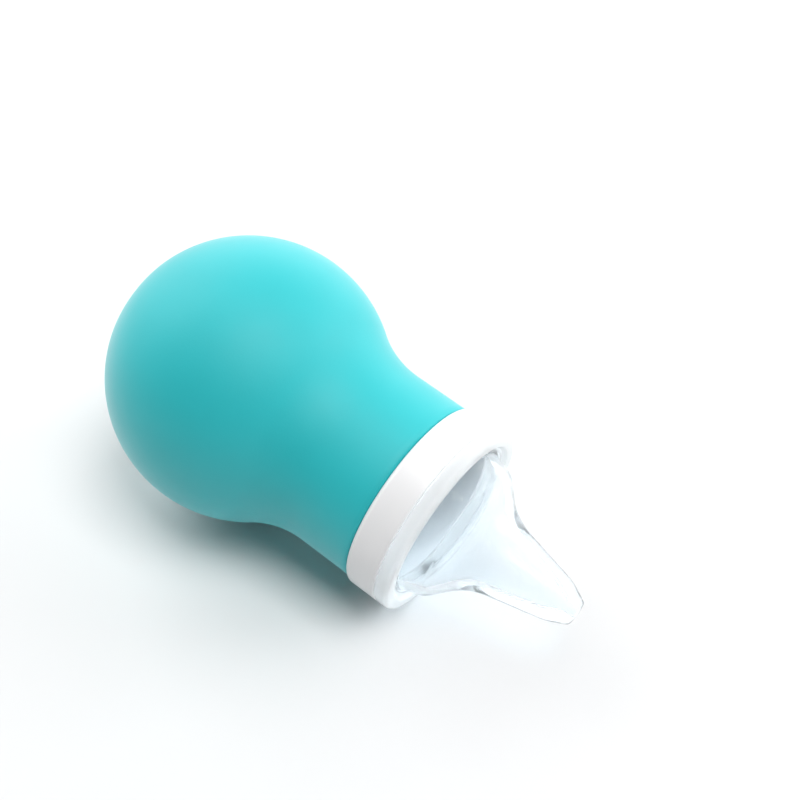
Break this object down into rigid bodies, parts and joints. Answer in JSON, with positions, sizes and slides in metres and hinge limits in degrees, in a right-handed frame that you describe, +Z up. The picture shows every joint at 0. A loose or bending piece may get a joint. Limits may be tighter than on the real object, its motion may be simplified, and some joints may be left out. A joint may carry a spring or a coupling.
{
  "type": "nasal aspirator",
  "caption": "Baby nasal aspirator: round squeeze bulb with flat vented base, rigid collar ring and soft clear tapering nozzle, lying on its side.",
  "frame": {"origin": "centre of the bounding box's bottom face, on the surface that the tool lies on", "axes": "+X along the tool's length, towards the nozzle; the tool's own axis lies in the XZ plane and dips 10.44 degrees towards the nozzle; +Z up"},
  "size_m": [0.1102, 0.06, 0.0597],
  "materials": {
    "bulb_silicone": "satin, slightly translucent silicone",
    "white_plastic": "smooth white moulded plastic",
    "clear_silicone": "frosted clear silicone"
  },
  "bodies": {
    "bulb_body": {"bulb": "bulb_silicone"},
    "base_pad": {"bulb_base": "bulb_silicone"},
    "collar": {"collar_ring": "white_plastic"},
    "nozzle_body": {"nozzle": "clear_silicone"}
  },
  "joints": [
    {"name": "base_press", "type": "slide", "parent": "bulb_body", "child": "base_pad", "axis": [0.9834, 0, -0.1813], "range_m": [0, 0.012], "stiffness_N_per_m": 300},
    {"name": "collar_pull", "type": "slide", "parent": "bulb_body", "child": "collar", "axis": [0.9834, 0, -0.1813], "range_m": [0, 0.011]},
    {"name": "nozzle_pull", "type": "slide", "parent": "collar", "child": "nozzle_body", "axis": [0.9834, 0, -0.1813], "range_m": [0, 0.0075]}
  ]
}
